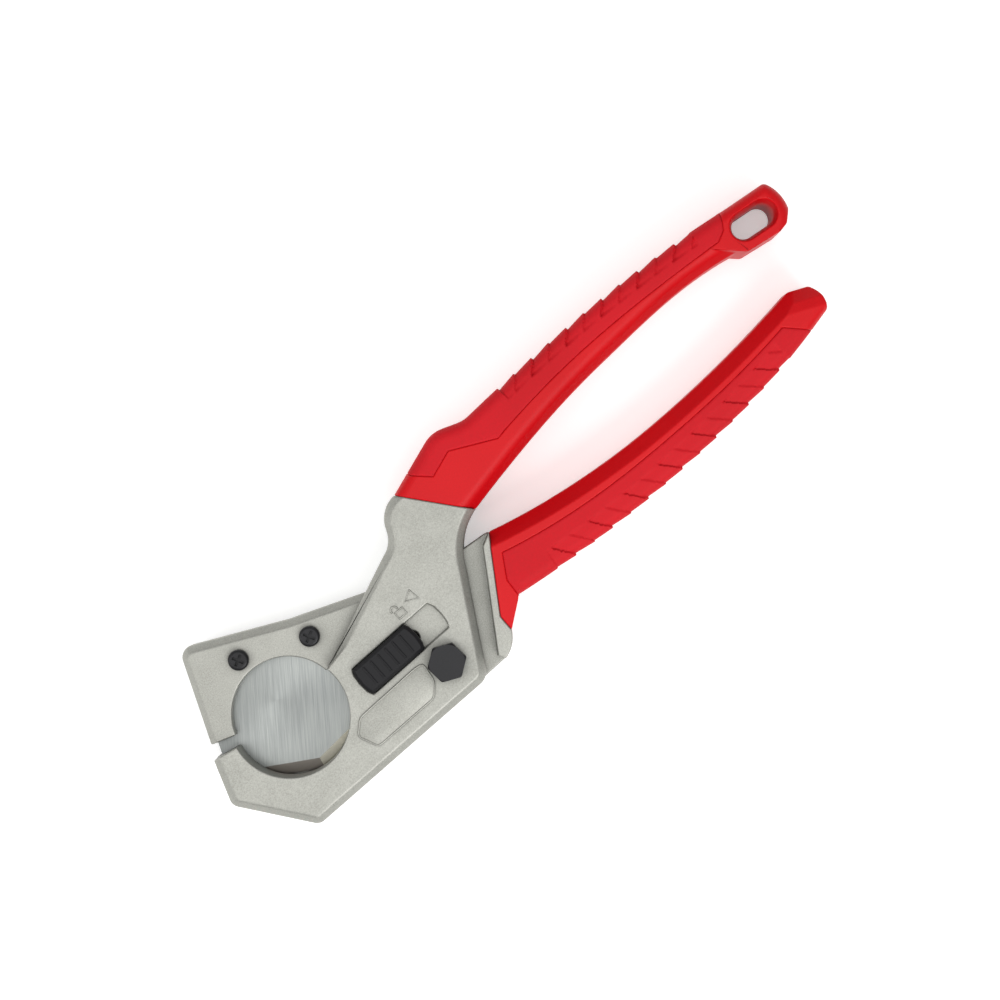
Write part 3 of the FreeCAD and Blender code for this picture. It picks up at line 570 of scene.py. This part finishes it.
lockMark = [
    ([(-0.3, 17.3), (2.3, 17.0), (2.5, 19.0), (-0.1, 19.3)], True),
    (ringPoints(0.45, 20.0, 0.95, -30, 190, 12), False),
    ([(4.2, 19.4), (7.4, 17.5), (7.2, 20.8)], True),
]
padMark = [(roundCorners(padOutline, marks["padCorner"]), True)]
beadTree = makeBeadTree()
lockBeads = runTree(makeLines("lock-marks", lockMark, marks["face"]), beadTree, {"Radius": marks["bead"] * mm})
padBeadHeight = marks["face"] + marks["padHeight"] - marks["padBeadSink"]
padBeads = runTree(makeLines("pad-marks", padMark, padBeadHeight), beadTree, {"Radius": marks["bead"] * mm})


def makePad():
    work = bmesh.new()
    foot = marks["face"] - marks["padSink"]
    ring = [work.verts.new(place(x, y, foot)) for x, y in roundCorners(padOutline, marks["padCorner"])]
    face = work.faces.new(ring)
    top = bmesh.ops.extrude_face_region(work, geom=[face])
    lifted = [v for v in top["geom"] if isinstance(v, bmesh.types.BMVert)]
    bmesh.ops.translate(work, verts=lifted, vec=Vector((0, 0, (marks["padHeight"] + marks["padSink"]) * mm)))
    bmesh.ops.recalc_face_normals(work, faces=work.faces)
    mesh = bpy.data.meshes.new("pad")
    work.to_mesh(mesh)
    work.free()
    obj = addPiece("pad", mesh, "cast_metal")
    edge = obj.modifiers.new("edges", "BEVEL")
    edge.width = marks["padEdge"] * mm
    edge.segments = marks["padEdgeSegments"]
    edge.limit_method = "ANGLE"
    edge.angle_limit = math.radians(marks["padEdgeAngle"])
    plainMesh(obj)
    smoothShade(obj, marks["shadeAngle"])
    return obj


for obj in (lockBeads, padBeads, makePad()):
    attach(obj, "frame")
print("stage 5: cast marks made")


# CAD pieces that stay

for node, obj in frame["nodes"].items():
    if not obj.hide_render:
        for i in range(max(1, len(obj.material_slots))):
            if not obj.material_slots:
                obj.data.materials.append(materials[slotOf[node]])
            obj.material_slots[i].material = materials[slotOf[node]]
print("stage 6: finishes given to the small parts")


# floor, lights and camera

view = {
    "lens": 80.0,
    "aim": (41.7, 19.4),     # mm from the pivot
    "aimHeight": 10.0,       # mm, the middle of the thickness
    "distance": 600.0,       # mm above the front face
    "roll": 47.0,            # degrees that the handles rise to the right
    "sensor": 36.0,          # mm
}
lights = {
    "world": 0.44,
    # right, up and towards the camera from the middle of the view, in mm
    "key": {"from": (230, -330, 480), "size": 0.35, "power": 2.1},
    "left": {"from": (-480, -120, 380), "size": 0.3, "power": 0.9},
    "top": {"from": (-60, 20, 800), "size": 0.6, "power": 1.7},
}


def inView(right, up, height):
    turn = Matrix.Rotation(math.radians(-view["roll"]), 3, "Z")
    return place(*view["aim"], height) + turn @ Vector((right * mm, up * mm, 0.0))


paperFloor = {
    "half": 3.0,         # m from the middle to each side
    "sink": 0.05,        # mm under the rest plane
    "colour": "#F7F7F6",
    "glow": 0.38,        # what the camera and gloss see added, so that the shadows stay pale
}


def makeFloor():
    mesh = bpy.data.meshes.new("floor")
    half = paperFloor["half"]
    mesh.from_pydata([(-half, -half, 0), (half, -half, 0), (half, half, 0), (-half, half, 0)], [], [(0, 1, 2, 3)])
    floor = bpy.data.objects.new("floor", mesh)
    bpy.context.scene.collection.objects.link(floor)
    material, tree = startMaterial("palePaper")
    path = addNode(tree, "ShaderNodeLightPath")
    seen = addNode(tree, "ShaderNodeMath", {0: path.outputs["Is Camera Ray"], 1: path.outputs["Is Glossy Ray"]},
                   operation="MAXIMUM")
    lift = addNode(tree, "ShaderNodeMath", {0: seen.outputs[0], 1: paperFloor["glow"]}, operation="MULTIPLY")
    paper = addNode(tree, "ShaderNodeBsdfDiffuse", {"Color": toLinear(paperFloor["colour"])})
    glow = addNode(tree, "ShaderNodeEmission", {"Color": (1, 1, 1, 1), "Strength": lift.outputs[0]})
    both = addNode(tree, "ShaderNodeAddShader", {0: paper.outputs[0], 1: glow.outputs[0]})
    addNode(tree, "ShaderNodeOutputMaterial", {"Surface": both.outputs[0]})
    mesh.materials.append(material)
    floor.location.z = -paperFloor["sink"] * mm


def makeLamp(name, values):
    data = bpy.data.lights.new(name, "AREA")
    data.shape = "SQUARE"
    data.size = values["size"]
    data.energy = values["power"]
    lamp = bpy.data.objects.new(name, data)
    bpy.context.scene.collection.objects.link(lamp)
    lamp.location = inView(*values["from"])
    aim = place(*view["aim"], view["aimHeight"]) - lamp.location
    lamp.rotation_euler = aim.to_track_quat("-Z", "Y").to_euler()


def makeWorld():
    world = bpy.data.worlds.new("studio")
    bpy.context.scene.world = world
    world.use_nodes = True
    tree = world.node_tree
    tree.nodes.clear()
    path = addNode(tree, "ShaderNodeLightPath")
    strength = addNode(tree, "ShaderNodeMix", {0: path.outputs["Is Camera Ray"], 2: lights["world"], 3: 1.0},
                       data_type="FLOAT")
    sky = addNode(tree, "ShaderNodeBackground", {"Color": (1, 1, 1, 1), "Strength": strength.outputs[0]})
    addNode(tree, "ShaderNodeOutputWorld", {"Surface": sky.outputs[0]})


def makeCamera():
    data = bpy.data.cameras.new("camera")
    data.lens = view["lens"]
    data.sensor_width = view["sensor"]
    data.clip_start = 0.01
    camera = bpy.data.objects.new("camera", data)
    bpy.context.scene.collection.objects.link(camera)
    x, y = view["aim"]
    camera.matrix_world = (Matrix.Translation(place(x, y, marks["face"] + view["distance"]))
                           @ Matrix.Rotation(math.radians(-view["roll"]), 4, "Z"))
    bpy.context.scene.camera = camera


makeFloor()
makeWorld()
for name in ("key", "left", "top"):
    makeLamp(name, lights[name])
makeCamera()
bpy.context.scene.view_settings.view_transform = "Standard"
print("stage 7: floor, lights and camera placed")
